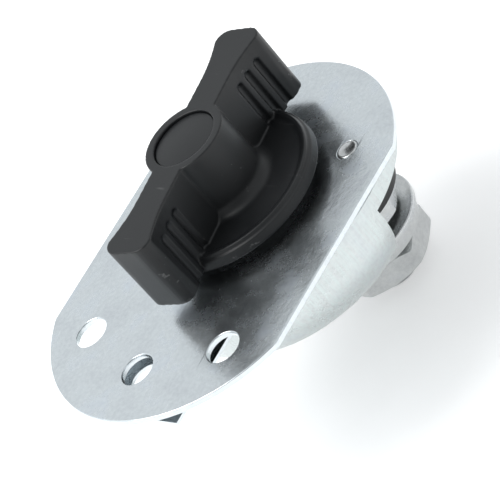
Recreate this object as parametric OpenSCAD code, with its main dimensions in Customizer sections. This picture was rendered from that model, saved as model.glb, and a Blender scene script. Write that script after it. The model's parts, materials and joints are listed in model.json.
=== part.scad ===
// Rotary battery isolator: wing knob on an oblong fixing plate, half-cut
// pressed bowl underneath, one threaded terminal and an earth strap.
// +X runs along the plate towards the terminal, +Z points out of the knob.
// The origin is the centre of the middle fixing hole, on the plate's top face.

/* [Fixing plate] */
// Width of the plate across its flats
plate_w = 47.5; // [46:0.1:50]
// Thickness of the plate
plate_t = 1.0; // [0.8:0.1:1.5]
// Radius of the rounded end by the knob
knob_end_r = 25.9; // [25.5:0.1:27]
// Radius of the rounded end by the fixing holes
fixing_end_r = 25.7; // [25.5:0.1:27]
// Distance from the middle fixing hole to the spindle axis
hole_to_spindle = 30.6; // [29:0.1:32]
// Diameter of the fixing holes
hole_d = 5.4; // [4.5:0.1:6]
// Distance of each outer fixing hole from the long axis
outer_hole_y = 14.2; // [13:0.1:15]
// Distance along the plate from the middle hole to the outer holes
outer_hole_x = 5.3; // [5:0.1:7]

/* [Knob] */
// Height of the knob's top face above the plate
knob_top = 14.6; // [14:0.1:17]
// Diameter of the knob's flange at its lower edge
flange_d = 29.9; // [28:0.1:31]
// Gap between the flange and the plate
flange_gap = 1.8; // [1.7:0.1:2]
// Tip to tip length of the wings
wing_span = 42; // [38:0.5:44]
// Angle of the wings to the plate's long axis at rest, degrees
wing_rest_angle = 6.5; // [0:0.5:10]
// Diameter of the hub at its top
hub_d = 13.3; // [12:0.1:14]
// Diameter of the round cap in the hub
cap_d = 10.4; // [9:0.1:11]
// Height of the wings' lower edge above the plate
wing_bottom = 2.5; // [2.2:0.1:3.2]

/* [Housing bowl] */
// Distance from the spindle axis to the bowl axis
bowl_x = 2.0; // [1.5:0.1:2.5]
// Depth of the bowl below the plate's top face
bowl_depth = 16.5; // [16:0.1:18]
// Outer radius of the bowl's rounded bottom edge
bowl_round = 11.1; // [10:0.1:12]
// Thickness of the pressed bowl
bowl_t = 0.9; // [0.8:0.1:1.1]
// Depth of the rim that runs all the way round, below the plate's top face
rim_depth = 3.8; // [3.6:0.1:4]

/* [Terminal] */
// Distance from the spindle axis to the terminal axis
stud_x = 13.0; // [12.8:0.1:13.4]
// Diameter of the threaded stud
stud_d = 10; // [10:0.1:10.4]
// Width of the terminal nuts across their flats
nut_af = 16; // [15:0.1:17.5]
// Depth of the upper nut's top face below the plate's top face
nut_top = 16; // [15.8:0.1:17]
// Thickness of the upper nut
upper_nut_h = 4.2; // [3:0.1:4.5]
// Room for a cable lug between the upper nut and the washer
lug_gap = 1.0; // [1:0.1:4]
// Outer diameter of the flat washer
washer_d = 20; // [18:0.1:20.5]
// Thickness of the flat washer
washer_t = 1.0; // [0.8:0.1:2.5]
// Thickness of the spring washer
spring_washer_t = 2.6; // [2:0.1:2.8]
// Thickness of the lower nut
lower_nut_h = 5; // [4:0.1:6]

/* [Earth strap] */
// Width of the strap outside the housing
strap_w = 22; // [18:0.5:22]
// Thickness of the strap
strap_t = 0.6; // [0.5:0.1:0.6]
// Depth of the strap's top face below the plate's top face
strap_depth = 2.4; // [2.2:0.1:2.5]
// How far the strap reaches past the middle fixing hole
strap_reach = 6.4; // [5:0.1:7]

/* [Hidden] */
$fn = 96;
fine = 0.01;            // how far a cutting tool runs past the face it cuts
run_gap = 0.05;         // radial clearance of a turning fit

// Plate
plate_right_x = 1.1;    // centre of the knob end's arc, from the spindle
plate_left_x = -13.8;   // centre of the fixing end's arc, from the spindle
rivet_ring_r = 17.6;    // rivets lie on this circle about the bowl axis
rivet_angles = [62, 180, -62];
rivet_r = 1.7;
lug_t = bowl_t;
lug_low = strap_depth + strap_t + 0.1 + lug_t;  // underside of the bowl's lugs, below the plate's top face
rivet_low = lug_low + 1.0;                      // underside of the rivets' lower heads

// Knob
wing_waist = 5.6;       // width of a wing at its narrowest
wing_tip_w = 8.2;       // width of a wing near its tip
wing_taper = 0.2;       // how much narrower each side of a tip is at the bottom
wing_neck_x = 11;       // the wings widen from here to their tips
tip_corner = 2.2;
hub_foot_r = 8.4;       // radius of the hub where it meets the flange
flange_top = 3.7;       // height of the flange's flat top
rim_ridge_r = 14.1;     // ridge that runs round the flange's edge
rim_ridge_z = 4.06;
rim_edge_r = 14.66;
rim_edge_z = 3.4;
cap_recess = 1.2;       // depth of the pocket that holds the cap
cap_t = 0.8;
screw_pocket_r = 4.4;
screw_floor = 10.2;     // height of the floor under the screw's washer
groove_from = 11.7;     // first grip groove, distance from the knob's axis
groove_pitch = 2.35;
groove_count = 3;
groove_r = 0.75;
groove_out = 0.25;      // how far a groove's axis lies outside the wing's flank
groove_top = 11.6;

// Spindle
spindle_r = 4.0;
square_w = 5.6;         // across flats of the square drive
square_top = 10.1;
bush_r = 5.5;
bush_flange_r = 7;
bush_flange_t = 0.9;
screw_r = 1.5;          // knob screw

// Contact mechanism, heights are below the plate's top face
index_t = 0.6;
base_top = strap_depth + index_t + 0.1;
cavity_floor = 9.6;
base_bottom = 12.0;
base_r = 14.5;
cavity_r = 12.3;
boss_r = 10.2;
contact_level = 9.0;    // top face of the two fixed contacts
rotor_r = 10.6;
rotor_top = 3.2;
rotor_bottom = 6.2;
bridge_t = 1.2;
bridge_w = 6;
bridge_half = 11.2;
ball_r = 1.5;
ball_ring_r = 7.2;
clip_t = 0.6;
stud_head_r = 5.6;

// Terminal, heights below the plate's top face
upper_nut_low = nut_top + upper_nut_h;
washer_top = upper_nut_low + lug_gap;
washer_low = washer_top + washer_t;
lower_nut_top = washer_low + spring_washer_t;
lower_nut_low = lower_nut_top + lower_nut_h;
stud_end = lower_nut_low + 3.0;

// Moves a shape that is drawn about the spindle to its place on the plate
module at_spindle() {
    translate([hole_to_spindle, 0, 0]) children();
}

module at_stud() {
    translate([hole_to_spindle + stud_x, 0, 0]) children();
}

// A round bar between two heights
module rod(r, low, high) {
    translate([0, 0, low]) cylinder(r = r, h = high - low);
}

// A flat ring between two heights
module ring(outer, inner, low, high) {
    difference() {
        rod(outer, low, high);
        rod(inner, low - fine, high + fine);
    }
}

// A square bar between two heights
module bar(w, low, high) {
    translate([-w / 2, -w / 2, low]) cube([w, w, high - low]);
}

// Copies a child to each rivet
module at_rivets() {
    for (a = rivet_angles)
        translate([bowl_x + rivet_ring_r * cos(a), rivet_ring_r * sin(a), 0]) children();
}

// A nut with both faces chamfered, hanging below z = -top
module hex_nut(top, h, turn) {
    corner_r = nut_af / sqrt(3);
    chamfer = (corner_r - nut_af / 2) * 0.6;
    difference() {
        intersection() {
            translate([0, 0, -top - h]) rotate(turn) cylinder(r = corner_r, h = h, $fn = 6);
            translate([0, 0, -top - h]) rotate_extrude()
                polygon([[0, 0], [nut_af / 2, 0], [corner_r, chamfer],
                         [corner_r, h - chamfer], [nut_af / 2, h], [0, h]]);
        }
        rod(stud_d / 2, -top - h - fine, -top + fine);
    }
}

// ---- Fixing plate ----

// Two round ends and the body between them, cut to the plate's width
module plate_solid() {
    intersection() {
        union() {
            translate([plate_right_x, 0, -plate_t]) cylinder(r = knob_end_r, h = plate_t);
            translate([plate_left_x, 0, -plate_t]) cylinder(r = fixing_end_r, h = plate_t);
            translate([plate_left_x, -plate_w / 2, -plate_t])
                cube([plate_right_x - plate_left_x, plate_w, plate_t]);
        }
        translate([-100, -plate_w / 2, -plate_t]) cube([200, plate_w, plate_t]);
    }
}

module mounting_plate() {
    color("silver") difference() {
        at_spindle() plate_solid();
        for (p = [[0, 0], [outer_hole_x, outer_hole_y], [outer_hole_x, -outer_hole_y]])
            translate([p[0], p[1], 0]) rod(hole_d / 2, -plate_t - 1, 1);
        at_spindle() rod(bush_r, -plate_t - 1, 1);
        at_spindle() at_rivets() rod(rivet_r, -plate_t - 1, 1);
    }
}

// Rivets hold the plate, gasket, bowl lugs and contact base together
module rivets() {
    color("gainsboro") at_spindle() at_rivets() {
        rod(rivet_r, -lug_low - 0.1, 0.15);
        rod(rivet_r + 1.1, -rivet_low, -lug_low);
    }
}

// ---- Knob ----

// Half the width of a wing at a distance from the axis
function flank_y(x) = let (s = (x - wing_neck_x) / (wing_span / 2 - tip_corner - wing_neck_x))
    (wing_waist + (wing_tip_w - wing_waist) * s * s) / 2;

// Outline of one wing seen from above, from the axis to the rounded tip
module wing_outline() {
    waist = wing_waist / 2;
    tip = wing_tip_w / 2;
    corner_x = wing_span / 2 - tip_corner;
    flank = [for (i = [0:6]) let (x = wing_neck_x + i / 6 * (corner_x - wing_neck_x)) [x, flank_y(x)]];
    corner = [for (i = [1:6]) let (a = 90 - i * 15)
        [corner_x + tip_corner * cos(a), tip - tip_corner + tip_corner * sin(a)]];
    half = concat([[0, waist]], flank, corner);
    polygon(concat(half, [for (i = [len(half) - 1:-1:0]) [half[i][0], -half[i][1]]]));
}

// One wing, its tip a little narrower at the bottom than at the top
module wing() {
    tip = wing_tip_w / 2;
    intersection() {
        translate([0, 0, wing_bottom]) linear_extrude(knob_top - wing_bottom) wing_outline();
        rotate([90, 0, 90]) linear_extrude(wing_span) polygon([
            [-tip + wing_taper, wing_bottom - 1], [tip - wing_taper, wing_bottom - 1],
            [tip + fine, knob_top + 1], [-tip - fine, knob_top + 1]]);
    }
}

// Grip grooves down both sides of one wing, round at the top and open at the bottom
module grip_grooves() {
    for (i = [0:groove_count - 1], side = [-1, 1]) let (x = groove_from + i * groove_pitch)
        translate([x, side * (flank_y(x) + groove_out), 0]) {
            rod(groove_r, wing_bottom - 1, groove_top);
            translate([0, 0, groove_top]) sphere(r = groove_r, $fn = 32);
        }
}

// Turned profile of the flange and hub, from the axis outwards
module knob_profile() {
    hub_r = hub_d / 2;
    fillet = hub_foot_r - hub_r;
    flare = [for (i = [0:8]) let (a = i * 90 / 8)
        [hub_foot_r - fillet * sin(a), flange_top + fillet * (1 - cos(a))]];
    polygon(concat([[0, flange_gap + 1.6], [rim_edge_r - 1.6, flange_gap + 1.6],
                    [rim_edge_r - 1.6, flange_gap], [flange_d / 2, flange_gap],
                    [rim_edge_r, rim_edge_z], [rim_ridge_r + 0.15, rim_edge_z + 0.1],
                    [rim_ridge_r, rim_ridge_z], [rim_ridge_r - 0.5, rim_ridge_z],
                    [rim_ridge_r - 1.1, flange_top]],
                   flare, [[hub_r, knob_top], [0, knob_top]]));
}

module wing_knob() {
    color("#303234") at_spindle() rotate(wing_rest_angle) difference() {
        union() {
            rotate_extrude() knob_profile();
            for (side = [0, 180]) rotate(side) difference() {
                wing();
                grip_grooves();
            }
            rod(square_w * 0.95, flange_gap, flange_gap + 2);
        }
        rod(cap_d / 2, knob_top - cap_recess, knob_top + 1);
        rod(screw_pocket_r, screw_floor, knob_top);
        rod(screw_r + 0.1, square_top - 1, screw_floor + 1);
        rotate(-wing_rest_angle) bar(square_w + 0.04, flange_gap - 1, square_top + fine);
        rod(spindle_r + 0.1, flange_gap - 1, 2.0);
    }
}

module knob_cap() {
    color("#36383a") at_spindle() {
        rod(cap_d / 2 - 0.02, knob_top - cap_recess, knob_top - cap_recess + cap_t);
    }
}

module knob_washer() {
    color("silver") at_spindle() ring(screw_pocket_r - 0.3, screw_r + 0.1, screw_floor, screw_floor + 0.6);
}

module knob_screw() {
    head_low = screw_floor + 0.6;
    color("silver") at_spindle() difference() {
        union() {
            rod(2.9, head_low, head_low + 2.0);
            rod(screw_r, square_top - 6, head_low + fine);
        }
        translate([-3, -0.4, head_low + 1.2]) cube([6, 0.8, 2]);
    }
}

// Felt ring that keeps dirt out under the flange
module knob_seal() {
    color("dimgray") at_spindle() ring(11.5, 8.2, 0, wing_bottom - 0.1);
}

// ---- Spindle and its bearing ----

module spindle() {
    groove_mid = 1.6;
    color("darkgray") at_spindle() difference() {
        union() {
            bar(square_w, 1.9, square_top);
            rod(spindle_r, -rotor_top, 1.9);
            bar(square_w, -rotor_bottom - clip_t - 0.5, -rotor_top);
        }
        rod(screw_r, square_top - 6, square_top + 1);
        ring(spindle_r + 1, 3.2, -groove_mid - 0.65, -groove_mid + 0.65);
        ring(spindle_r + 1, 2.3, -rotor_bottom - clip_t - 0.02, -rotor_bottom - 0.02);
    }
}

module spindle_oring() {
    color("black") at_spindle() translate([0, 0, -1.6])
        rotate_extrude() translate([3.62, 0]) circle(r = 0.41, $fn = 24);
}

module spindle_bush() {
    color("goldenrod") at_spindle() difference() {
        union() {
            rod(bush_r, -strap_depth, 0);
            rod(bush_flange_r, 0, bush_flange_t);
        }
        rod(spindle_r + run_gap, -strap_depth - 1, 2);
    }
}

// ---- Parts under the plate ----

// Fibre sheet between the plate and the housing
module base_gasket() {
    gasket_r = 20.5;
    color("saddlebrown") at_spindle() difference() {
        translate([bowl_x, 0, 0]) rod(gasket_r, -strap_depth, -plate_t);
        rod(bush_r, -strap_depth - 1, 0);
        at_rivets() rod(rivet_r, -strap_depth - 1, 0);
    }
}

// Steel disc with four holes that the detent balls click into
module index_plate() {
    color("lightgray") at_spindle() difference() {
        rod(rotor_r + 0.9, -strap_depth - index_t, -strap_depth);
        rod(spindle_r + 0.3, -strap_depth - 1, 0);
        for (a = [45:90:315]) rotate(a) translate([ball_ring_r, 0, 0])
            rod(1.0, -strap_depth - 1, 0);
    }
}

module detent_balls() {
    color("whitesmoke") at_spindle() for (a = [45, 225]) rotate(a)
        translate([ball_ring_r, 0, -strap_depth - index_t - 0.04 - ball_r]) sphere(r = ball_r, $fn = 32);
}

// Small coil springs, drawn as sleeves, that push the balls up
module detent_springs() {
    color("silver") at_spindle() for (a = [45, 225]) rotate(a)
        translate([ball_ring_r, 0, 0]) ring(1.2, 0.8, -rotor_bottom - 0.4, -rotor_bottom + 0.35);
}

// Moulded carrier that turns with the spindle and drives the bridge
module rotor() {
    leg_low = contact_level - 0.6;
    color("#5a2d1e") at_spindle() difference() {
        union() {
            rod(rotor_r, -rotor_bottom - 1.0, -rotor_top);
            for (side = [0, 180]) rotate(side) {
                translate([3.6, bridge_w / 2 + 0.1, -leg_low]) cube([4.2, 1.8, leg_low - rotor_bottom]);
                translate([3.6, -bridge_w / 2 - 1.9, -leg_low]) cube([4.2, 1.8, leg_low - rotor_bottom]);
            }
        }
        bar(square_w + 0.04, -rotor_bottom - 2, 0);
        rod(4.8, -rotor_bottom - 2, -rotor_bottom);
        for (a = [45, 225]) rotate(a) translate([ball_ring_r, 0, 0])
            rod(ball_r + 0.05, -rotor_bottom - 0.4, 0);
    }
}

// Circlip that holds the rotor on the spindle
module rotor_clip() {
    color("gray") at_spindle() difference() {
        ring(3.6, 2.35, -rotor_bottom - clip_t - 0.02, -rotor_bottom - 0.02);
        translate([0, -1.2, -rotor_bottom - 1]) cube([5, 2.4, 2]);
    }
}

// Compression spring between rotor and bridge, as stacked wire rings
module contact_spring() {
    wire = 0.32;
    coil_r = 4.35;
    color("silver") at_spindle() for (i = [0:1])
        translate([0, 0, -contact_level + bridge_t + 0.05 + wire + i * 2 * wire])
            rotate_extrude() translate([coil_r, 0]) circle(r = wire, $fn = 16);
}

module contact_bridge() {
    color("peru") at_spindle() difference() {
        intersection() {
            translate([-bridge_half, -bridge_w / 2, -contact_level + 0.05])
                cube([2 * bridge_half, bridge_w, bridge_t]);
            rod(bridge_half + 0.2, -contact_level, 0);
        }
        for (side = [-1, 1]) translate([side * 9.2, 0, 0])
            rod(1.5, -contact_level - 1, 0);
    }
}

// Silver tips riveted into the ends of the bridge
module contact_tips() {
    color("white") at_spindle() for (side = [-1, 1]) translate([side * 9.2, 0, 0]) {
        rod(1.5, -contact_level + 0.05, -contact_level + bridge_t + 0.05);
        rod(1.9, -contact_level + bridge_t + 0.05, -contact_level + bridge_t + 0.35);
    }
}

// Strip that runs from the fixed contact out to the middle fixing hole
module earth_strap() {
    inner_w = 8;
    leg_x = -cavity_r + 0.1;
    foot_end = -6.6;
    strap_low = strap_depth + strap_t;
    color("lightsteelblue") difference() {
        union() {
            translate([-strap_reach, -strap_w / 2, -strap_low])
                cube([hole_to_spindle + strap_reach - 15.4, strap_w, strap_t]);
            at_spindle() {
                translate([-16, -inner_w / 2, -strap_low]) cube([16 + leg_x + strap_t, inner_w, strap_t]);
                translate([leg_x, -inner_w / 2, -cavity_floor])
                    cube([strap_t, inner_w, cavity_floor - strap_depth]);
                translate([leg_x, -inner_w / 2, -cavity_floor])
                    cube([foot_end - leg_x, inner_w, cavity_floor - contact_level]);
            }
        }
        rod(hole_d / 2, -strap_low - 1, 0);
        at_spindle() at_rivets() rod(rivet_r, -strap_low - 1, 0);
    }
}

// Black moulding that carries both fixed contacts
module contact_base() {
    leg_half_w = 4.05;
    rivet_pocket_w = 6.6;
    color("#202020") at_spindle() difference() {
        union() {
            rod(base_r, -base_bottom, -base_top);
            translate([stud_x, 0, 0]) rod(boss_r, -nut_top, -base_top);
        }
        rod(cavity_r, -cavity_floor, 0);
        translate([stud_x, 0, 0]) rod(stud_head_r + 0.1, -base_bottom, -contact_level + 2.4);
        translate([stud_x, 0, 0]) rod(stud_d / 2, -nut_top - 1, 0);
        // slot for the strap's leg, then room for the lug and rivet behind it
        translate([-cavity_r, -leg_half_w, -cavity_floor]) cube([2, 2 * leg_half_w, cavity_floor]);
        translate([-base_r - 1, -rivet_pocket_w / 2, -rivet_low - 0.1])
            cube([base_r + 1 - cavity_r - 0.6, rivet_pocket_w, rivet_low]);
        at_rivets() rod(rivet_r + 1.3, -rivet_low - 0.1, 0);
    }
}

// Fibre lining inside the closed half of the bowl
module housing_liner() {
    inner = plate_w / 2 - bowl_t - 0.1;
    lining_t = 0.6;
    color("tan") at_spindle() difference() {
        intersection() {
            translate([bowl_x, 0, 0]) bowl_skin(inner, lining_t, bowl_depth - bowl_t - 0.1, bowl_round - bowl_t);
            translate([-60, -60, -60]) cube([60 + bowl_x - 0.5, 120, 60 - rim_depth - 0.3]);
        }
    }
}

// A cup with a rounded bottom edge, open at the top, about the Z axis
module bowl_skin(outer, wall, depth, corner) {
    arc = function (r, c, low) [for (i = [0:12]) let (a = i * 90 / 12)
        [c + r * cos(a), low + r - r * sin(a)]];
    inner_corner = corner - wall;
    rotate_extrude() polygon(concat(
        [[outer, -plate_t]],
        arc(corner, outer - corner, -depth),
        [[0, -depth], [0, -depth + wall]],
        [for (i = [12:-1:0]) arc(inner_corner, outer - corner, -depth + wall)[i]],
        [[outer - wall, -plate_t]]));
}

// Pressed bowl: full rim, closed half under the fixing side, open half by the terminal
module housing_bowl() {
    outer = plate_w / 2;
    cut_x = 2.5;
    lug_reach = 2.6;     // from a rivet's axis towards the bowl axis
    lug_w = 6.4;
    color("silver") at_spindle() {
        difference() {
            translate([bowl_x, 0, 0]) bowl_skin(outer, bowl_t, bowl_depth, bowl_round);
            translate([cut_x, -50, -60]) cube([60, 100, 60 - rim_depth]);
            translate([-40, -strap_w / 2 - 0.3, -strap_depth - strap_t - 0.2]) cube([35, strap_w + 0.6, 5]);
        }
        // inward lugs that the rivets clamp
        for (a = rivet_angles) difference() {
            translate([bowl_x, 0, 0]) rotate(a) translate([rivet_ring_r - lug_reach, -lug_w / 2, -lug_low])
                cube([outer - bowl_t / 2 - rivet_ring_r + lug_reach, lug_w, lug_t]);
            at_rivets() rod(rivet_r, -lug_low - 1, 0);
        }
    }
}

// ---- Terminal ----

module terminal_stud() {
    color("silver") at_stud() {
        rod(stud_head_r, -base_bottom, -contact_level);
        rod(stud_d / 2, -stud_end + 1, -base_bottom + fine);
        translate([0, 0, -stud_end]) cylinder(r1 = stud_d / 2 - 1, r2 = stud_d / 2, h = 1);
    }
}

module upper_nut() {
    color("silver") at_stud() hex_nut(nut_top, upper_nut_h, 35);
}

module flat_washer() {
    color("gainsboro") at_stud() ring(washer_d / 2, stud_d / 2, -washer_low, -washer_top);
}

// Split spring washer
module spring_washer() {
    color("gainsboro") at_stud() difference() {
        ring(washer_d / 2 - 0.9, stud_d / 2, -lower_nut_top, -washer_low);
        rotate(200) translate([stud_d / 2 - 1, -0.4, -lower_nut_top - 1]) cube([8, 0.8, 5]);
    }
}

module lower_nut() {
    color("silver") at_stud() hex_nut(lower_nut_top, lower_nut_h, 21);
}

wing_knob();
knob_cap();
knob_screw();
knob_washer();
knob_seal();
spindle();
spindle_oring();
spindle_bush();
mounting_plate();
rivets();
base_gasket();
index_plate();
detent_balls();
detent_springs();
rotor();
rotor_clip();
contact_spring();
contact_bridge();
contact_tips();
earth_strap();
contact_base();
housing_liner();
housing_bowl();
terminal_stud();
upper_nut();
flat_washer();
spring_washer();
lower_nut();
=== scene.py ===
"""Looks for the rotary battery isolator: wing knob, plated plate, drawn bowl and threaded terminal."""

import json
import math

import bmesh
import bpy
from mathutils import Euler, Matrix, Vector


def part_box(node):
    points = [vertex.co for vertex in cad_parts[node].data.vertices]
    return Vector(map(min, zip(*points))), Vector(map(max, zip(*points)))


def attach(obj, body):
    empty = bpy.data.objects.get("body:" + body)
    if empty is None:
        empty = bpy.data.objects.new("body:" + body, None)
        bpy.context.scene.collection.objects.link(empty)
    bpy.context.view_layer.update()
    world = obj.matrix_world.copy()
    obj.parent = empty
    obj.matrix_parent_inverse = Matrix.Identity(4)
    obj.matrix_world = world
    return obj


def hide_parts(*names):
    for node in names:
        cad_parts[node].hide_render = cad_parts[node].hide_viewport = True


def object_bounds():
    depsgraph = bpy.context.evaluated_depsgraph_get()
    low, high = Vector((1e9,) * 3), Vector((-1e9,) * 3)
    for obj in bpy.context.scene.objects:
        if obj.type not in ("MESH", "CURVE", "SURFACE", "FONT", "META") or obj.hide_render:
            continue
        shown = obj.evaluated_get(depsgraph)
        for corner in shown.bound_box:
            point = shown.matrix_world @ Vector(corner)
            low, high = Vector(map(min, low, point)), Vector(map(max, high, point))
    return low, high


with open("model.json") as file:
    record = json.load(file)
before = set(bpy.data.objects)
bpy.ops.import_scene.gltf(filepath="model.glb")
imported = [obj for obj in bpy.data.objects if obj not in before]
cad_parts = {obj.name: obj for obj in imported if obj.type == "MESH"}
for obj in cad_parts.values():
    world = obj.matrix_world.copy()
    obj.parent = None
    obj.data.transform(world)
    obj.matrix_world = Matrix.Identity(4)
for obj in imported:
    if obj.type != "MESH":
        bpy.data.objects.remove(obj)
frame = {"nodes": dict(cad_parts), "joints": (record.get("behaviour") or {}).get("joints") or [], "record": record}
CAD_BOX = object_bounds()

MM = 0.001
TAU = 2 * math.pi

# ---- Places, read from the frame ----
SPINDLE = Vector(frame["joints"][0]["pos_m"])
MOUNTS = {mount["name"]: mount for mount in frame["record"]["mounts"]}
FIXING_HOLES = [MOUNTS[name]["pos_m"] for name in ("middle_hole", "outer_hole_left", "outer_hole_right")]
HOLE_R = MOUNTS["middle_hole"]["dims"]["r_mm"] * MM
STUD_X = sum(corner[0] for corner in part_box("terminal_stud")) / 2

# ---- Sizes the frame doesn't state, in metres ----
# Plate: the radius of each end, the edge roll and the hole that clears the spindle's bush.
KNOB_END_R = 25.9 * MM
FIXING_END_R = 25.7 * MM
PLATE_ROLL = 0.16 * MM
BUSH_HOLE_R = 5.5 * MM

# Bowl: sheet thickness, outer radius of the drawn corner, softened lip, the depth of the full rim,
# and how far past the spindle the deep half goes before it is cut away.
BOWL_T = 0.9 * MM
BOWL_ROUND = 11.1 * MM
BOWL_LIP = 0.12 * MM
RIM_DEPTH = 3.8 * MM
BOWL_CUT = 2.5 * MM
STRAP_GAP = 0.3 * MM
STRAP_SLOT_DEPTH = 0.8 * MM

# Lugs that reach in from the rim to the rivets.
LUG_DROP = 1.6 * MM
LUG_HALF_WIDTH = 3.2 * MM
LUG_PAST_RIVET = 2.6 * MM
LUG_INSIDE_RIM = 0.5 * MM
LUG_ROLL = 0.08 * MM

# Rivets: shank and flange radius, flange thickness, rounding of the set end.
RIVET_R = 1.7 * MM
RIVET_FLANGE_R = RIVET_R + 1.1 * MM
RIVET_FLANGE_T = 1.0 * MM
RIVET_CHAMFER = 0.4 * MM
RIVET_ROUND = 0.2 * MM

# The rivets' set end, measured in from the shank's edge and down from its top: a flat lip, then a
# ring-shaped crease, then a middle that rises a little out of the crease.
LIP_IN = 0.45 * MM
LIP_DOWN = 0.02 * MM
CREASE_IN = 0.6 * MM
CREASE_DOWN = 0.1 * MM
MIDDLE_DOWN = 0.06 * MM

# Terminal: stud, thread and nuts. THREAD_SHARPNESS is 1 for a plain V, CHAMFER_START is a fraction
# of the distance from the nut's axis to its flats, and angles are in degrees.
STUD_R = 5.0 * MM
STUD_HEAD_T = 3 * MM
STUD_HEAD_CHAMFER = 0.3 * MM
STUD_TIP = 0.9 * MM
STUD_TIP_INSET = 1.0 * MM
THREAD_PITCH = 1.5 * MM
THREAD_DEPTH = 0.8 * MM
THREAD_SHARPNESS = 1.2
NUT_FLAT = 16.0 * MM
UPPER_NUT_TURN = 35
LOWER_NUT_TURN = 21
NUT_CORNER_WEAR = 0.18 * MM
NUT_MOUTH_DEPTH = 0.5 * MM
NUT_MOUTH_WIDTH = 0.45 * MM
CHAMFER_START = 0.92
CHAMFER_ANGLE = 30

# Helper sizes: solid outlines stop just short of their axis, FAR is beyond the whole object, and
# points closer than SAME_POINT are one point.
AXIS_R = 0.0001 * MM
FAR = 1.0
SAME_POINT = 0.0001 * MM
HOLE_POINTS = 64
END_STEPS = 72

# ---- Camera and stage ----
# The camera was fitted to the photo's outlines of the plate, the knob's rings and the bowl. Its place
# is in metres, its turn in degrees, its lens and sensor in millimetres.
CAMERA_PLACE = (-0.13291, -0.29263, 0.22126)
CAMERA_TURN = (47.464, 33.458, -55.414)
CAMERA_LENS = 197.4
CAMERA_SENSOR = 36
CAMERA_CLIP = 0.01

# Brightness of the studio walls, each at its fraction of a turn around the object.
WALLS = [(0.0, 1.0), (0.12, 0.9), (0.2, 0.35), (0.3, 0.3), (0.4, 0.9), (0.5, 0.6), (0.62, 1.0),
         (0.74, 0.8), (0.88, 1.0)]
WALL_TINT = (0.95, 0.98, 1.0)
WALLS_TURN = 35

KEY_OFFSET = Vector((-0.35, 0.25, 0.75))
KEY_SIZE = 0.5
KEY_POWER = 4

FLOOR_SIZE = 6.0
FLOOR_STEPS = 12
FLOOR_GAP = 0.1 * MM
FLOOR_GLOW = 0.3

BLACK = (0, 0, 0)
WHITE = (1, 1, 1)

# CAD nodes that a piece below stands for, filled in by hand_over.
REPLACED = set()


# ---- Helpers: meshes ----

def low_high(node):
    """The lowest and highest corners of a CAD node."""
    low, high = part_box(node)
    return Vector(low), Vector(high)


def new_object(name, data):
    """An object in the scene that shows the given mesh, curve, light or camera."""
    obj = bpy.data.objects.new(name, data)
    bpy.context.scene.collection.objects.link(obj)
    return obj


def mesh_object(name, verts, faces):
    """An object made from plain lists of points and faces."""
    mesh = bpy.data.meshes.new(name)
    mesh.from_pydata([tuple(v) for v in verts], [], faces)
    mesh.validate()
    return new_object(name, mesh)


def cad_copy(name, node):
    """A free copy of a CAD node's mesh, where the node is."""
    source = frame["nodes"][node]
    copy = new_object(name, source.data.copy())
    copy.data.transform(source.matrix_world)
    return copy


def applied(obj):
    """Turns an object with modifiers, or a curve, into a plain mesh object of the same name."""
    bpy.context.view_layer.update()
    graph = bpy.context.evaluated_depsgraph_get()
    mesh = bpy.data.meshes.new_from_object(obj.evaluated_get(graph))
    name = obj.name
    obj.name = name + "_raw"
    made = new_object(name, mesh)
    made.matrix_world = obj.matrix_world
    bpy.data.objects.remove(obj)
    return made


def shade(obj, angle):
    """Smooth shading, with edges sharper than the angle kept crisp."""
    bm = bmesh.new()
    bm.from_mesh(obj.data)
    bmesh.ops.remove_doubles(bm, verts=bm.verts, dist=SAME_POINT)
    bmesh.ops.recalc_face_normals(bm, faces=bm.faces)
    for face in bm.faces:
        face.smooth = True
    for edge in bm.edges:
        edge.smooth = len(edge.link_faces) == 2 and edge.calc_face_angle(0) < math.radians(angle)
    bm.to_mesh(obj.data)
    bm.free()
    even = obj.modifiers.new("even", "WEIGHTED_NORMAL")
    even.keep_sharp = True
    return obj


def eased(obj, width, angle):
    """Bevels the edges that are sharper than the angle."""
    ease = obj.modifiers.new("ease", "BEVEL")
    ease.width = width
    ease.segments = 2
    ease.limit_method = "ANGLE"
    ease.angle_limit = math.radians(angle)
    return applied(obj)


def swept_faces(rows, count, closed):
    """Faces between neighbouring rows of count points; closed joins the last row to the first."""
    faces = []
    for i in range(rows if closed else rows - 1):
        j = (i + 1) % rows
        for k in range(count):
            m = (k + 1) % count
            faces.append((i * count + k, j * count + k, j * count + m, i * count + m))
    return faces


def turned(name, profile, centre, steps=160):
    """A closed (radius, height) outline turned about a vertical axis through centre."""
    verts = []
    for i in range(steps):
        a = TAU * i / steps
        for r, z in profile:
            verts.append((centre[0] + r * math.cos(a), centre[1] + r * math.sin(a), z))
    return mesh_object(name, verts, swept_faces(steps, len(profile), closed=True))


def arc(centre, radius, start, end, steps):
    """Points on an arc, angles in degrees."""
    points = []
    for i in range(steps + 1):
        a = math.radians(start + (end - start) * i / steps)
        points.append((centre[0] + radius * math.cos(a), centre[1] + radius * math.sin(a)))
    return points


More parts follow.
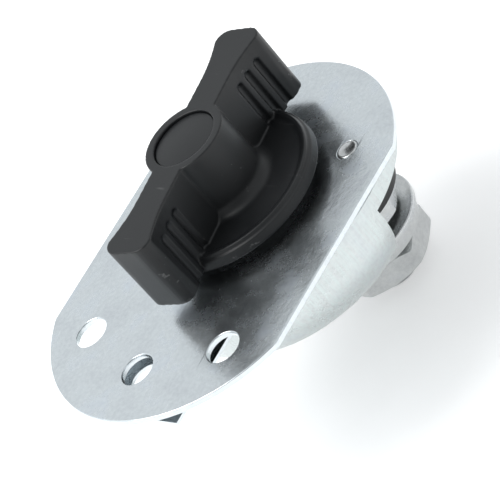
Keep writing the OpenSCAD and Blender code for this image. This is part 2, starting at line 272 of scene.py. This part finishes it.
def flat_sheet(name, outline, holes, low, high, roll):
    """A sheet with round holes and softly rolled edges. holes are (x, y, radius)."""
    curve = bpy.data.curves.new(name, "CURVE")
    curve.dimensions = "2D"
    curve.fill_mode = "BOTH"
    curve.extrude = (high - low) / 2 - roll
    curve.bevel_depth = roll
    curve.bevel_resolution = 3
    curve.offset = -roll
    loops = [outline]
    last_angle = 360 * (HOLE_POINTS - 1) / HOLE_POINTS
    for x, y, r in holes:
        loops.append(arc((x, y), r, 0, last_angle, HOLE_POINTS - 1))
    for loop in loops:
        spline = curve.splines.new("POLY")
        spline.points.add(len(loop) - 1)
        for point, (x, y) in zip(spline.points, loop):
            point.co = (x, y, 0, 1)
        spline.use_cyclic_u = True
    obj = new_object(name, curve)
    obj.location.z = (low + high) / 2
    obj = applied(obj)
    obj.data.transform(obj.matrix_world)
    obj.matrix_world = Matrix.Identity(4)
    return shade(obj, angle=50)


def cut_with_box(obj, low, high):
    """Takes a box away from an object."""
    size = [high[i] - low[i] for i in range(3)]
    bm = bmesh.new()
    bmesh.ops.create_cube(bm, size=1)
    for vert in bm.verts:
        vert.co = [low[i] + (vert.co[i] + 0.5) * size[i] for i in range(3)]
    mesh = bpy.data.meshes.new("cutter")
    bm.to_mesh(mesh)
    bm.free()
    cutter = new_object("cutter", mesh)
    change = obj.modifiers.new("cut", "BOOLEAN")
    change.operation = "DIFFERENCE"
    change.solver = "EXACT"
    change.object = cutter
    made = applied(obj)
    bpy.data.objects.remove(cutter)
    return made


def join(name, pieces):
    """Joins pieces into one mesh object."""
    bm = bmesh.new()
    for piece in pieces:
        bm.from_mesh(piece.data)
    mesh = bpy.data.meshes.new(name)
    bm.to_mesh(mesh)
    bm.free()
    for piece in pieces:
        bpy.data.objects.remove(piece)
    return new_object(name, mesh)


def hand_over(obj, body, node, material):
    """Gives a piece its material, body and CAD node."""
    obj.data.materials.clear()
    obj.data.materials.append(material)
    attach(obj, body)
    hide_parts(node)
    REPLACED.add(node)


# ---- Helpers: materials ----

def fill_ramp(color_ramp, stops):
    """Sets a colour ramp's stops, each (place, colour)."""
    while len(color_ramp.elements) < len(stops):
        color_ramp.elements.new(0.5)
    for element, (at, colour) in zip(color_ramp.elements, stops):
        element.position = at
        element.color = (*colour, 1)


class Nodes:
    """Builds one material's node tree with short calls."""

    def __init__(self, name):
        self.material = bpy.data.materials.new(name)
        self.material.use_nodes = True
        self.tree = self.material.node_tree
        self.shader = self.tree.nodes["Principled BSDF"]
        place = self.tree.nodes.new("ShaderNodeTexCoord")
        self.object_place = place.outputs["Object"]

    def link(self, a, b):
        self.tree.links.new(a, b)

    def set(self, **values):
        for key, value in values.items():
            self.shader.inputs[key.replace("_", " ")].default_value = value

    def stretched(self, scale, turn=(0, 0, 0)):
        """The object's place, stretched by scale and turned by radians."""
        node = self.tree.nodes.new("ShaderNodeMapping")
        node.inputs["Scale"].default_value = scale
        node.inputs["Rotation"].default_value = turn
        self.link(self.object_place, node.inputs["Vector"])
        return node.outputs["Vector"]

    def noise(self, scale, detail=4, rough=0.5, place=None):
        node = self.tree.nodes.new("ShaderNodeTexNoise")
        node.inputs["Scale"].default_value = scale
        node.inputs["Detail"].default_value = detail
        node.inputs["Roughness"].default_value = rough
        self.link(place or self.object_place, node.inputs["Vector"])
        return node.outputs["Fac"]

    def cells(self, scale):
        """The brightness of each cell of a crystal-like pattern."""
        node = self.tree.nodes.new("ShaderNodeTexVoronoi")
        node.inputs["Scale"].default_value = scale
        self.link(self.object_place, node.inputs["Vector"])
        grey = self.tree.nodes.new("ShaderNodeRGBToBW")
        self.link(node.outputs["Color"], grey.inputs[0])
        return grey.outputs[0]

    def ramp(self, source, stops):
        node = self.tree.nodes.new("ShaderNodeValToRGB")
        fill_ramp(node.color_ramp, stops)
        self.link(source, node.inputs["Fac"])
        return node.outputs["Color"]

    def above(self, source, low, high):
        """Black where the source is under low, white where it is over high."""
        return self.ramp(source, [(0.0, BLACK), (low, BLACK), (high, WHITE), (1.0, WHITE)])

    def span(self, source, low, high, from_low=0.0, from_high=1.0):
        """Maps the range from_low to from_high onto low to high."""
        node = self.tree.nodes.new("ShaderNodeMapRange")
        node.inputs["From Min"].default_value = from_low
        node.inputs["From Max"].default_value = from_high
        node.inputs["To Min"].default_value = low
        node.inputs["To Max"].default_value = high
        self.link(source, node.inputs["Value"])
        return node.outputs["Result"]

    def mix(self, factor, a, b):
        """Mixes two colours, each a socket or a plain colour."""
        node = self.tree.nodes.new("ShaderNodeMix")
        node.data_type = "RGBA"
        for socket, value in ((node.inputs[0], factor), (node.inputs[6], a), (node.inputs[7], b)):
            if isinstance(value, (int, float)):
                socket.default_value = value
            elif isinstance(value, tuple):
                socket.default_value = (*value, 1)
            else:
                self.link(value, socket)
        return node.outputs[2]

    def maths(self, kind, a, b):
        """One sum of two values, each a socket or a number."""
        node = self.tree.nodes.new("ShaderNodeMath")
        node.operation = kind
        for socket, value in zip(node.inputs, (a, b)):
            if isinstance(value, (int, float)):
                socket.default_value = value
            else:
                self.link(value, socket)
        return node.outputs[0]

    def bump(self, height, strength, distance, before=None):
        node = self.tree.nodes.new("ShaderNodeBump")
        node.inputs["Strength"].default_value = strength
        node.inputs["Distance"].default_value = distance
        self.link(height, node.inputs["Height"])
        if before is not None:
            self.link(before, node.inputs["Normal"])
        return node.outputs["Normal"]

    def colour(self, source):
        self.link(source, self.shader.inputs["Base Color"])

    def roughness(self, source):
        self.link(source, self.shader.inputs["Roughness"])

    def normal(self, source):
        self.link(source, self.shader.inputs["Normal"])


# ---- Materials ----

def knob_plastic():
    """Satin black moulding with faint flow marks and a few pale scuffs."""
    n = Nodes("knob_plastic")
    broad = n.noise(scale=90, detail=5)
    grain = n.noise(scale=4200, detail=2)
    long_way = n.stretched(scale=(1, 0.07, 1), turn=(0.3, 0.2, 0.9))
    scratch = n.noise(scale=700, detail=3, rough=0.6, place=long_way)
    scuffed = n.above(scratch, low=0.64, high=0.7)
    rare = n.above(n.noise(scale=160, detail=2), low=0.52, high=0.6)
    marks = n.maths("MULTIPLY", scuffed, rare)
    base = n.ramp(broad, [(0.3, (0.005, 0.006, 0.007)), (0.7, (0.010, 0.011, 0.012))])
    scuff_colour = (0.16, 0.16, 0.16)
    n.colour(n.mix(n.maths("MULTIPLY", marks, 0.5), base, scuff_colour))
    n.roughness(n.span(broad, low=0.30, high=0.46, from_low=0.3, from_high=0.7))
    n.set(IOR=1.46)
    fine = n.bump(grain, strength=0.10, distance=0.05 * MM)
    n.normal(n.bump(broad, strength=0.12, distance=0.4 * MM, before=fine))
    return n.material


def zinc(name, light, dark, rough, cell_scale=0.0, streak=None, streak_depth=0.0):
    """Bright zinc plating with soft clouds of tint; streak stretches a draw-line texture."""
    n = Nodes(name)
    clouds = n.noise(scale=130, detail=6, rough=0.6)
    fine = n.noise(scale=1500, detail=4, rough=0.6)
    cool = tuple(c * w for c, w in zip(light, (0.95, 0.97, 1.04)))
    tint = n.ramp(clouds, [(0.32, dark), (0.52, light), (0.68, cool)])
    speck = n.ramp(fine, [(0.35, (0.82, 0.82, 0.83)), (0.65, WHITE)])
    n.set(Metallic=1.0)
    surface = n.mix(0.35, tint, speck)
    if streak is not None:
        lines = n.noise(scale=2200, detail=3, rough=0.7, place=n.stretched(streak))
        pale = tuple(min(1.0, c * 1.5) for c in light)
        surface = n.mix(n.span(lines, low=0.0, high=0.7, from_low=0.42, from_high=0.62), surface, pale)
    n.colour(surface)
    cloudy_rough = n.span(clouds, low=rough - 0.05, high=rough + 0.06, from_low=0.3, from_high=0.7)
    n.roughness(n.maths("ADD", cloudy_rough, n.span(fine, low=-0.03, high=0.03)))
    normal = n.bump(fine, strength=0.12, distance=0.06 * MM)
    normal = n.bump(clouds, strength=0.10, distance=0.8 * MM, before=normal)
    if cell_scale:
        normal = n.bump(n.cells(cell_scale), strength=0.05, distance=0.08 * MM, before=normal)
    if streak is not None:
        normal = n.bump(lines, strength=0.4, distance=streak_depth, before=normal)
    n.normal(normal)
    return n.material


def simple(name, colour, rough, metal=0.0, scale=600, depth=0.05 * MM):
    """A plain hidden-part material that still varies a little."""
    n = Nodes(name)
    grain = n.noise(scale)
    paler = tuple(min(1, c * 1.25 + 0.01) for c in colour)
    n.colour(n.ramp(grain, [(0.3, colour), (0.7, paler)]))
    n.roughness(n.span(grain, low=rough - 0.06, high=rough + 0.08, from_low=0.3, from_high=0.7))
    n.set(Metallic=metal)
    n.normal(n.bump(grain, strength=0.25, distance=depth))
    return n.material


def all_materials():
    """Every material, under the record's name for its slot."""
    return {
        "knob_plastic": knob_plastic(),
        "zinc_plate": zinc("zinc_plate", light=(0.60, 0.67, 0.70), dark=(0.52, 0.58, 0.62),
                           rough=0.25, cell_scale=900),
        "zinc_drawn": zinc("zinc_drawn", light=(0.39, 0.435, 0.43), dark=(0.30, 0.345, 0.34),
                           rough=0.28, streak=(1, 1, 0.03), streak_depth=0.15 * MM),
        "zinc_hardware": zinc("zinc_hardware", light=(0.42, 0.44, 0.435), dark=(0.30, 0.32, 0.32),
                              rough=0.24),
        "phenolic": simple("phenolic", (0.012, 0.012, 0.012), rough=0.5),
        "felt": simple("felt", (0.02, 0.02, 0.02), rough=0.9, scale=2500, depth=0.2 * MM),
        "steel": simple("steel", (0.5, 0.5, 0.51), rough=0.3, metal=1.0),
        "rubber": simple("rubber", (0.01, 0.01, 0.01), rough=0.65),
        "brass": simple("brass", (0.72, 0.52, 0.22), rough=0.28, metal=1.0),
        "fibre": simple("fibre", (0.12, 0.06, 0.03), rough=0.8, scale=1200),
        "copper": simple("copper", (0.75, 0.36, 0.22), rough=0.3, metal=1.0),
        "silver": simple("silver", (0.85, 0.85, 0.83), rough=0.22, metal=1.0),
    }


# ---- Pieces ----

def wing_knob(material):
    """The CAD knob, remeshed finely and softened so its edges are rounded like a moulding."""
    knob = cad_copy("knob_moulding", "wing_knob")
    remesh = knob.modifiers.new("remesh", "REMESH")
    remesh.mode = "VOXEL"
    remesh.voxel_size = 0.16 * MM
    soften = knob.modifiers.new("soften", "SMOOTH")
    soften.factor = 0.5
    soften.iterations = 4
    knob = applied(knob)
    for face in knob.data.polygons:
        face.use_smooth = True
    hand_over(knob, "knob_shaft", "wing_knob", material)


def knob_cap(material):
    """The disc in the hub's top, with a rounded rim."""
    low, high = low_high("knob_cap")
    r = (high.x - low.x) / 2
    edge = 0.25 * MM
    outline = [(AXIS_R, low.z), (r, low.z)]
    outline += arc((r - edge, high.z - edge), edge, 0, 90, steps=4)
    outline += [(AXIS_R, high.z)]
    cap = shade(turned("cap_disc", outline, SPINDLE), angle=40)
    hand_over(cap, "knob_shaft", "knob_cap", material)


def plate_outline(low, high):
    """The plate's outline: an arc at each end, joined by two flats."""
    half = (high.y - low.y) / 2
    right = Vector((high.x - KNOB_END_R, 0))
    left = Vector((low.x + FIXING_END_R, 0))
    turn = math.degrees(math.asin(half / KNOB_END_R))
    points = arc(right, KNOB_END_R, -turn, turn, END_STEPS)
    turn = math.degrees(math.asin(half / FIXING_END_R))
    points += arc(left, FIXING_END_R, 180 - turn, 180 + turn, END_STEPS)
    return points


def bowl_centre():
    """Where the bowl's axis is."""
    low, high = low_high("housing_bowl")
    return ((low.x + high.x) / 2, 0.0)


def bowl_radius():
    """The bowl's outer radius."""
    low, high = low_high("housing_bowl")
    return (high.y - low.y) / 2


def rivet_places():
    """Centres of the rivets, from the rivets' own box and the bowl's axis."""
    high = low_high("rivets")[1]
    axis = Vector((bowl_centre()[0], 0, 0))
    far = Vector((high.x - RIVET_FLANGE_R, high.y - RIVET_FLANGE_R, 0))
    ring_r = (far - axis).length
    return [far, Vector((far.x, -far.y, 0)), Vector((bowl_centre()[0] - ring_r, 0, 0))]


def mounting_plate(material):
    """The oblong plate with its fixing, rivet and bush holes."""
    low, high = low_high("mounting_plate")
    holes = [(p[0], p[1], HOLE_R) for p in FIXING_HOLES]
    holes += [(p.x, p.y, RIVET_R) for p in rivet_places()]
    holes.append((SPINDLE.x, SPINDLE.y, BUSH_HOLE_R))
    plate = flat_sheet("plate_sheet", plate_outline(low, high), holes, low.z, high.z, PLATE_ROLL)
    hand_over(plate, "switch_body", "mounting_plate", material)


def rivets(material):
    """Rivets with a nearly flush head ringed by the crease of the setting tool."""
    low, high = low_high("rivets")
    top = high.z
    flange_top = low.z + RIVET_FLANGE_T
    profile = [(AXIS_R, low.z), (RIVET_FLANGE_R - RIVET_CHAMFER, low.z),
               (RIVET_FLANGE_R, low.z + RIVET_CHAMFER), (RIVET_FLANGE_R, flange_top),
               (RIVET_R, flange_top), (RIVET_R, top - RIVET_ROUND)]
    profile += arc((RIVET_R - RIVET_ROUND, top - RIVET_ROUND), RIVET_ROUND, 0, 90, steps=5)
    profile += [(RIVET_R - LIP_IN, top - LIP_DOWN), (RIVET_R - CREASE_IN, top - CREASE_DOWN),
                (AXIS_R, top - MIDDLE_DOWN)]
    made = [turned("rivet_part", profile, place, steps=64) for place in rivet_places()]
    joined = join("rivet_set", made)
    hand_over(shade(joined, angle=40), "switch_body", "rivets", material)


def earth_strap(material):
    """The CAD strap with its sheared edges eased."""
    strap = shade(cad_copy("strap_strip", "earth_strap"), angle=25)
    strap = shade(eased(strap, width=0.08 * MM, angle=40), angle=40)
    hand_over(strap, "switch_body", "earth_strap", material)


def housing_bowl(material):
    """The drawn bowl: a full rim, its terminal half cut away, and a slot for the strap."""
    low, high = low_high("housing_bowl")
    outer = bowl_radius()
    top = high.z
    round_centre = (outer - BOWL_ROUND, low.z + BOWL_ROUND)
    inside = arc(round_centre, BOWL_ROUND - BOWL_T, -90, 0, steps=14)
    outside = arc(round_centre, BOWL_ROUND, 0, -90, steps=18)
    profile = [(AXIS_R, low.z + BOWL_T)] + inside
    profile += [(outer - BOWL_T, top - BOWL_LIP), (outer - BOWL_T + BOWL_LIP, top)]
    profile += [(outer - BOWL_LIP, top), (outer, top - BOWL_LIP)] + outside + [(AXIS_R, low.z)]
    bowl = turned("bowl_shell", profile, bowl_centre(), steps=240)
    bowl = cut_with_box(bowl, (SPINDLE.x + BOWL_CUT, -FAR, low.z - FAR), (FAR, FAR, -RIM_DEPTH))
    strap_low, strap_high = low_high("earth_strap")
    slot_low = (-FAR, strap_low.y - STRAP_GAP, strap_high.z - STRAP_SLOT_DEPTH)
    bowl = cut_with_box(bowl, slot_low, (SPINDLE.x, strap_high.y + STRAP_GAP, FAR))
    bowl = shade(eased(bowl, width=0.1 * MM, angle=60), angle=40)
    hand_over(bowl, "switch_body", "housing_bowl", material)


def bowl_lugs(material):
    """Inward lugs of the bowl, each with its rivet hole."""
    outer = bowl_radius()
    centre = Vector((bowl_centre()[0], 0, 0))
    lug_low = low_high("earth_strap")[1].z - LUG_DROP
    made = []
    for place in rivet_places():
        out = (place - centre).normalized()
        side = Vector((-out.y, out.x, 0)) * LUG_HALF_WIDTH
        ring_r = (place - centre).length
        near = centre + out * (ring_r - LUG_PAST_RIVET)
        end = centre + out * (outer - LUG_INSIDE_RIM)
        corners = [near - side, end - side, end + side, near + side]
        outline = [(c.x, c.y) for c in corners]
        hole = (place.x, place.y, RIVET_R)
        made.append(flat_sheet("lug", outline, [hole], lug_low, lug_low + BOWL_T, LUG_ROLL))
    lugs = join("bowl_lugs", made)
    hand_over(lugs, "switch_body", "housing_bowl", material)


def nut(name, node, turn, material):
    """A hex nut whose chamfers cut curved edges into its flats; turn is in degrees."""
    low, high = low_high(node)
    corner = NUT_FLAT / math.sqrt(3)
    flat = NUT_FLAT / 2
    slope = math.tan(math.radians(CHAMFER_ANGLE))
    chamfer_r = flat * CHAMFER_START
    mouth_r = STUD_R + NUT_MOUTH_WIDTH
    steps = 180
    verts = []
    for i in range(steps):
        a = TAU * i / steps
        within = (a - math.radians(turn)) % (TAU / 6) - TAU / 12
        reach = min(flat / math.cos(within), corner - NUT_CORNER_WEAR)
        drop = (reach - chamfer_r) * slope
        section = [(STUD_R, low.z + NUT_MOUTH_DEPTH), (mouth_r, low.z), (chamfer_r, low.z),
                   (reach, low.z + drop), (reach, high.z - drop), (chamfer_r, high.z),
                   (mouth_r, high.z), (STUD_R, high.z - NUT_MOUTH_DEPTH)]
        verts += [(STUD_X + r * math.cos(a), r * math.sin(a), z) for r, z in section]
    obj = mesh_object(name, verts, swept_faces(steps, len(section), closed=True))
    obj = shade(obj, angle=22)
    hand_over(obj, "switch_body", node, material)


def flat_washer(material):
    """The flat washer, its upper edge rounded by the punch."""
    low, high = low_high("flat_washer")
    outer = (high.x - low.x) / 2
    bore_r = STUD_R + 0.1 * MM
    burr = 0.1 * MM
    soft = 0.3 * MM
    profile = [(bore_r, low.z), (outer - burr, low.z), (outer, low.z + burr)]
    profile += arc((outer - soft, high.z - soft), soft, 0, 90, steps=5)
    profile += [(bore_r, high.z)]
    washer = shade(turned("washer_disc", profile, (STUD_X, 0.0)), angle=40)
    hand_over(washer, "switch_body", "flat_washer", material)


def spring_washer(material):
    """A split ring, its two ends slightly out of line."""
    low, high = low_high("spring_washer")
    outer = (high.y - low.y) / 2
    bore_r = STUD_R + 0.3 * MM
    gap = math.radians(6)
    gap_middle = math.radians(200)
    start = gap_middle + gap / 2
    sweep = TAU - gap
    rise = 0.25 * MM
    steps = 150
    soft = 0.2 * MM
    thick = high.z - low.z - rise
    section = [(bore_r, 0), (outer - soft, 0), (outer, soft), (outer, thick - soft),
               (outer - soft, thick), (bore_r, thick)]
    count = len(section)
    verts = []
    for i in range(steps + 1):
        a = start + sweep * i / steps
        lift = rise * i / steps
        verts += [(STUD_X + r * math.cos(a), r * math.sin(a), low.z + z + lift) for r, z in section]
    faces = swept_faces(steps + 1, count, closed=False)
    faces.append(tuple(range(count)))
    faces.append(tuple(steps * count + k for k in reversed(range(count))))
    washer = shade(mesh_object("split_ring", verts, faces), angle=40)
    hand_over(washer, "switch_body", "spring_washer", material)


def stud_thread(low, high):
    """The stud's shank: a helical thread that tapers in at the tip."""
    per_turn = 72
    rows_per_pitch = 8
    step = THREAD_PITCH / rows_per_pitch
    rows = int((high.z - low.z - STUD_HEAD_T) / step)
    tip = low.z + STUD_TIP
    verts = []
    for k in range(rows + 1):
        z = low.z + k * step
        for i in range(per_turn):
            a = TAU * i / per_turn
            phase = (z / THREAD_PITCH - i / per_turn) % 1.0
            r = STUD_R - THREAD_DEPTH * abs(2 * phase - 1) ** THREAD_SHARPNESS
            if z < tip:
                r = min(r, STUD_R - STUD_TIP_INSET + max(0.0, z - low.z))
            verts.append((STUD_X + r * math.cos(a), r * math.sin(a), z))
    faces = []
    for k in range(rows):
        here = k * per_turn
        above = here + per_turn
        for i in range(per_turn):
            j = (i + 1) % per_turn
            faces.append((here + i, here + j, above + j, above + i))
    faces.append(tuple(reversed(range(per_turn))))
    faces.append(tuple(rows * per_turn + i for i in range(per_turn)))
    return mesh_object("stud_thread", verts, faces)


def terminal_stud(material):
    """A threaded stud with a round head."""
    low, high = low_high("terminal_stud")
    head_r = (high.x - low.x) / 2
    head_low = high.z - STUD_HEAD_T
    profile = [(AXIS_R, head_low), (head_r, head_low), (head_r, high.z - STUD_HEAD_CHAMFER),
               (head_r - STUD_HEAD_CHAMFER, high.z), (AXIS_R, high.z)]
    thread = stud_thread(low, high)
    head = turned("stud_head", profile, (STUD_X, 0.0), steps=96)
    stud = shade(join("stud_and_head", [thread, head]), angle=30)
    hand_over(stud, "switch_body", "terminal_stud", material)


def dress_cad_nodes(materials):
    """Gives every CAD node that stays its own material."""
    slots = {part["node"]: part["material_slot"] for part in frame["record"]["subparts"]}
    for name, obj in frame["nodes"].items():
        if name in REPLACED:
            continue
        for slot in obj.material_slots:
            slot.link = "OBJECT"
            slot.material = materials[slots[name]]


# ---- Stage ----

def add_floor():
    """A pale floor that glows a little, so that it stays near white."""
    n = Nodes("floor_white")
    n.colour(n.ramp(n.noise(scale=3, detail=2), [(0.3, (0.93, 0.93, 0.93)), (0.7, (0.95, 0.95, 0.95))]))
    n.roughness(n.span(n.noise(scale=8, detail=2), low=0.85, high=0.95))
    n.set(Emission_Color=(1, 1, 1, 1), Emission_Strength=FLOOR_GLOW)
    z = CAD_BOX[0][2] - FLOOR_GAP
    verts = []
    faces = []
    for j in range(FLOOR_STEPS + 1):
        for i in range(FLOOR_STEPS + 1):
            x = (i / FLOOR_STEPS - 0.5) * FLOOR_SIZE
            y = (j / FLOOR_STEPS - 0.5) * FLOOR_SIZE
            verts.append((x, y, z))
    for j in range(FLOOR_STEPS):
        for i in range(FLOOR_STEPS):
            here = j * (FLOOR_STEPS + 1) + i
            beyond = here + FLOOR_STEPS + 1
            faces.append((here, here + 1, beyond + 1, beyond))
    floor = mesh_object("floor_sheet", verts, faces)
    floor.data.materials.append(n.material)


def add_world():
    """Studio walls, as bands of brightness around the object for the metal to reflect."""
    world = bpy.data.worlds.new("studio")
    bpy.context.scene.world = world
    world.use_nodes = True
    tree = world.node_tree
    place = tree.nodes.new("ShaderNodeTexCoord")
    turn = tree.nodes.new("ShaderNodeMapping")
    turn.inputs["Rotation"].default_value = (0, 0, math.radians(WALLS_TURN))
    bands = tree.nodes.new("ShaderNodeTexGradient")
    bands.gradient_type = "RADIAL"
    walls = tree.nodes.new("ShaderNodeValToRGB")
    fill_ramp(walls.color_ramp, [(at, [level * c for c in WALL_TINT]) for at, level in WALLS])
    tree.links.new(place.outputs["Generated"], turn.inputs["Vector"])
    tree.links.new(turn.outputs["Vector"], bands.inputs["Vector"])
    tree.links.new(bands.outputs["Fac"], walls.inputs["Fac"])
    tree.links.new(walls.outputs["Color"], tree.nodes["Background"].inputs["Color"])
    tree.nodes["Background"].inputs["Strength"].default_value = 1.0
    bpy.context.scene.view_settings.view_transform = "Standard"


def add_key_light():
    """One square area light, mostly overhead, aimed at the spindle."""
    data = bpy.data.lights.new("key", "AREA")
    data.shape = "RECTANGLE"
    data.size = KEY_SIZE
    data.size_y = KEY_SIZE
    data.energy = KEY_POWER
    light = new_object("key", data)
    light.location = SPINDLE + KEY_OFFSET
    light.rotation_euler = (-KEY_OFFSET).to_track_quat("-Z", "Y").to_euler()


def add_camera():
    """The camera at the photograph's viewing angle."""
    data = bpy.data.cameras.new("camera")
    data.sensor_width = CAMERA_SENSOR
    data.lens = CAMERA_LENS
    data.clip_start = CAMERA_CLIP
    camera = new_object("camera", data)
    camera.location = CAMERA_PLACE
    camera.rotation_euler = Euler([math.radians(a) for a in CAMERA_TURN], "XYZ")
    bpy.context.scene.camera = camera


def build():
    """Makes every piece, then dresses the CAD nodes that no piece stands for."""
    materials = all_materials()
    plastic = materials["knob_plastic"]
    plate = materials["zinc_plate"]
    drawn = materials["zinc_drawn"]
    hardware = materials["zinc_hardware"]
    wing_knob(plastic)
    knob_cap(plastic)
    mounting_plate(plate)
    rivets(hardware)
    earth_strap(plate)
    housing_bowl(drawn)
    bowl_lugs(drawn)
    nut("nut_upper", "upper_nut", UPPER_NUT_TURN, hardware)
    nut("nut_lower", "lower_nut", LOWER_NUT_TURN, hardware)
    flat_washer(hardware)
    spring_washer(hardware)
    terminal_stud(hardware)
    dress_cad_nodes(materials)


add_camera()
add_world()
add_key_light()
add_floor()
build()
